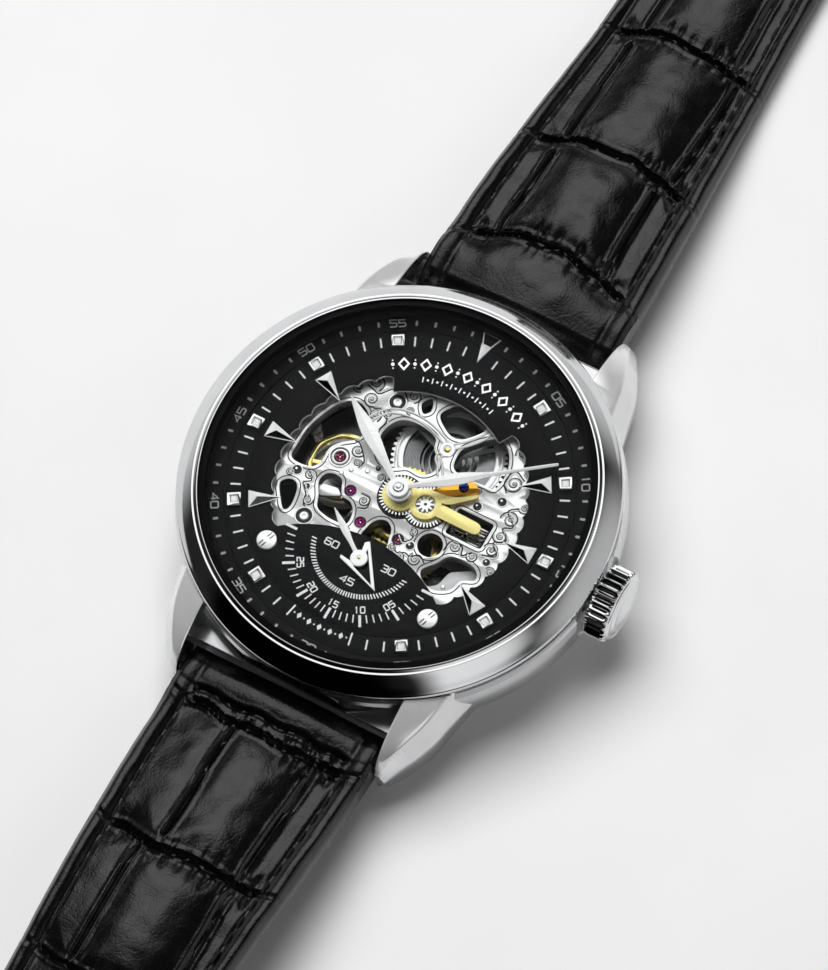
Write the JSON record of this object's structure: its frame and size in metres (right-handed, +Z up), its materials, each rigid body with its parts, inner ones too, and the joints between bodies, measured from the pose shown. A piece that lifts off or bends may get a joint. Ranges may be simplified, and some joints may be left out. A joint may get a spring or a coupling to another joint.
{
  "type": "skeleton wristwatch",
  "caption": "Round automatic skeleton wristwatch with small seconds, fluted crown and padded leather strap with a pin buckle.",
  "frame": {"origin": "centre of the case back's flat underside, on the table, under the pivot of the hour and minute hands", "axes": "+Z up out of the dial, +Y towards 12 o'clock and the buckle, +X towards 3 o'clock and the crown"},
  "size_m": [0.047, 0.246, 0.0129],
  "materials": {
    "steel_polished": "mirror-polished stainless steel",
    "steel_brushed": "satin brushed stainless steel",
    "nickel": "nickel-plated brass with engraving and fine graining",
    "steel_dark": "dark oiled steel",
    "gilt": "pale gilt brass",
    "amber": "polished amber-gilt metal",
    "dial_black": "near-black satin dial paint",
    "holder_black": "matt black",
    "rubber": "black rubber",
    "glass": "clear polished glass",
    "ruby": "polished synthetic ruby",
    "leather": "glossy black crocodile-embossed leather",
    "white_print": "white printed and applied markings",
    "thread": "black sewing thread"
  },
  "bodies": {
    "case": {"case_band": "steel_brushed", "bezel": "steel_polished", "crystal": "glass", "crystal_gasket": "rubber", "rehaut": "dial_black", "dial": "dial_black", "dial_screw_left": "steel_polished", "dial_screw_right": "steel_polished", "movement_ring": "holder_black", "case_back": "steel_brushed", "back_glass": "glass", "back_gasket": "rubber", "crown_tube": "steel_brushed", "main_plate": "nickel", "motion_cover": "gilt", "barrel_bridge": "nickel", "train_bridge": "nickel", "balance_cock": "nickel", "hairspring": "steel_polished", "rotor_bearing": "steel_polished", "balance_jewel": "ruby", "pallet_jewel": "ruby", "escape_jewel": "ruby", "third_jewel": "ruby", "spring_bar_top": "steel_brushed", "spring_bar_bottom": "steel_brushed"},
    "crown_slide": {"crown_gasket": "rubber"},
    "crown": {"crown": "steel_polished", "winding_stem": "steel_polished"},
    "clutch_wheel": {"clutch_wheel": "steel_dark"},
    "winding_pinion": {"winding_pinion": "steel_dark"},
    "setting_lever": {"setting_lever": "amber"},
    "minute": {"minute_hand": "steel_polished", "cannon_pinion": "steel_polished", "centre_wheel": "gilt"},
    "hour": {"hour_hand": "steel_polished", "hour_wheel": "nickel"},
    "minute_wheel": {"minute_wheel": "nickel"},
    "third_wheel": {"third_wheel": "gilt"},
    "seconds": {"seconds_hand": "steel_polished", "fourth_wheel": "gilt"},
    "escape_wheel": {"escape_wheel": "steel_polished"},
    "pallet_fork": {"pallet_fork": "steel_polished"},
    "balance": {"balance_wheel": "gilt"},
    "barrel": {"barrel": "nickel", "barrel_cover": "nickel", "mainspring": "steel_brushed"},
    "barrel_arbor": {"barrel_arbor": "gilt", "ratchet_wheel": "nickel"},
    "reduction_wheel": {"reduction_wheel": "gilt"},
    "click": {"click": "steel_polished"},
    "rotor": {"rotor": "nickel"},
    "strap_buckle_side": {"strap_buckle_side": "leather", "buckle_bar": "steel_brushed", "fixed_keeper": "leather"},
    "buckle": {"buckle_frame": "steel_polished"},
    "tongue": {"buckle_tongue": "steel_polished"},
    "free_keeper": {"free_keeper": "leather"},
    "strap_tail_side": {"strap_tail_side": "leather"}
  },
  "joints": [
    {"name": "crown_pull", "type": "slide", "parent": "case", "child": "crown_slide", "axis": [1, 0, 0], "range_m": [0, 0.0012]},
    {"name": "crown_turn", "type": "hinge", "parent": "crown_slide", "child": "crown", "pos_m": [0.02175, 0, 0.0071], "axis": [1, 0, 0], "continuous": true},
    {"name": "clutch_turn", "type": "hinge", "parent": "case", "child": "clutch_wheel", "pos_m": [0.00575, 0, 0.0071], "axis": [1, 0, 0], "continuous": true},
    {"name": "winding_pinion_turn", "type": "hinge", "parent": "case", "child": "winding_pinion", "pos_m": [0.0076, 0, 0.0071], "axis": [1, 0, 0], "continuous": true},
    {"name": "setting_lever_turn", "type": "hinge", "parent": "case", "child": "setting_lever", "pos_m": [0.0051, 0.0034, 0.0085], "axis": [0, 0, 1], "range_deg": [0, 12]},
    {"name": "seconds_turn", "type": "hinge", "parent": "case", "child": "seconds", "pos_m": [0, -0.0079, 0.0095], "axis": [0, 0, -1], "continuous": true},
    {"name": "minute_turn", "type": "hinge", "parent": "case", "child": "minute", "pos_m": [0, 0, 0.0095], "axis": [0, 0, -1], "continuous": true},
    {"name": "hour_turn", "type": "hinge", "parent": "case", "child": "hour", "pos_m": [0, 0, 0.0095], "axis": [0, 0, -1], "continuous": true},
    {"name": "minute_wheel_turn", "type": "hinge", "parent": "case", "child": "minute_wheel", "pos_m": [0.0027, 0.0002, 0.0095], "axis": [0, 0, -1], "continuous": true},
    {"name": "third_wheel_turn", "type": "hinge", "parent": "case", "child": "third_wheel", "pos_m": [0.00195, -0.004, 0.0095], "axis": [0, 0, -1], "continuous": true},
    {"name": "escape_wheel_turn", "type": "hinge", "parent": "case", "child": "escape_wheel", "pos_m": [-0.0022, -0.0041, 0.0095], "axis": [0, 0, -1], "continuous": true},
    {"name": "barrel_turn", "type": "hinge", "parent": "case", "child": "barrel", "pos_m": [0.0016, 0.0064, 0.0095], "axis": [0, 0, -1], "continuous": true},
    {"name": "pallet_swing", "type": "hinge", "parent": "case", "child": "pallet_fork", "pos_m": [-0.00469, -0.00164, 0.0095], "axis": [0, 0, 1], "range_deg": [-4, 4]},
    {"name": "balance_swing", "type": "hinge", "parent": "case", "child": "balance", "pos_m": [-0.00735, 0.001, 0.0095], "axis": [0, 0, 1], "range_deg": [-270, 270], "stiffness_Nm_per_rad": 0.00000015},
    {"name": "rotor_turn", "type": "hinge", "parent": "case", "child": "rotor", "pos_m": [0, 0, 0.0095], "axis": [0, 0, 1], "continuous": true},
    {"name": "reduction_wheel_turn", "type": "hinge", "parent": "case", "child": "reduction_wheel", "pos_m": [-0.0026, 0.0042, 0.0095], "axis": [0, 0, 1], "continuous": true},
    {"name": "barrel_arbor_turn", "type": "hinge", "parent": "case", "child": "barrel_arbor", "pos_m": [0.0016, 0.0064, 0.0095], "axis": [0, 0, 1], "continuous": true},
    {"name": "click_swing", "type": "hinge", "parent": "case", "child": "click", "pos_m": [0.00635, 0.00875, 0.0095], "axis": [0, 0, 1], "range_deg": [0, 8], "stiffness_Nm_per_rad": 0.00001},
    {"name": "strap_buckle_side_hinge", "type": "hinge", "parent": "case", "child": "strap_buckle_side", "pos_m": [0, 0.0236, 0.0053], "axis": [1, 0, 0], "range_deg": [-80, 60]},
    {"name": "strap_tail_side_hinge", "type": "hinge", "parent": "case", "child": "strap_tail_side", "pos_m": [0, -0.0236, 0.0053], "axis": [-1, 0, 0], "range_deg": [-80, 60]},
    {"name": "buckle_hinge", "type": "hinge", "parent": "strap_buckle_side", "child": "buckle", "pos_m": [0, 0.098, 0.00165], "axis": [1, 0, 0], "range_deg": [-20, 60]},
    {"name": "tongue_hinge", "type": "hinge", "parent": "buckle", "child": "tongue", "pos_m": [0, 0.098, 0.00165], "axis": [1, 0, 0], "range_deg": [0, 60]},
    {"name": "free_keeper_slide", "type": "slide", "parent": "strap_buckle_side", "child": "free_keeper", "axis": [0, 1, 0], "range_m": [-0.009, 0.002]}
  ],
  "couplings": [
    {"joint": "clutch_turn", "follows": "crown_turn", "ratio": 1},
    {"joint": "winding_pinion_turn", "follows": "crown_turn", "ratio": 1},
    {"joint": "setting_lever_turn", "follows": "crown_pull", "rad_per_m": 170},
    {"joint": "minute_turn", "follows": "seconds_turn", "ratio": 0.016667},
    {"joint": "hour_turn", "follows": "seconds_turn", "ratio": 0.0013889},
    {"joint": "minute_wheel_turn", "follows": "seconds_turn", "ratio": -0.0041667},
    {"joint": "third_wheel_turn", "follows": "seconds_turn", "ratio": -0.13333},
    {"joint": "escape_wheel_turn", "follows": "seconds_turn", "ratio": -6.6667},
    {"joint": "barrel_turn", "follows": "seconds_turn", "ratio": -0.0027778},
    {"joint": "reduction_wheel_turn", "follows": "rotor_turn", "ratio": -0.22222},
    {"joint": "barrel_arbor_turn", "follows": "rotor_turn", "ratio": 0.055556}
  ]
}
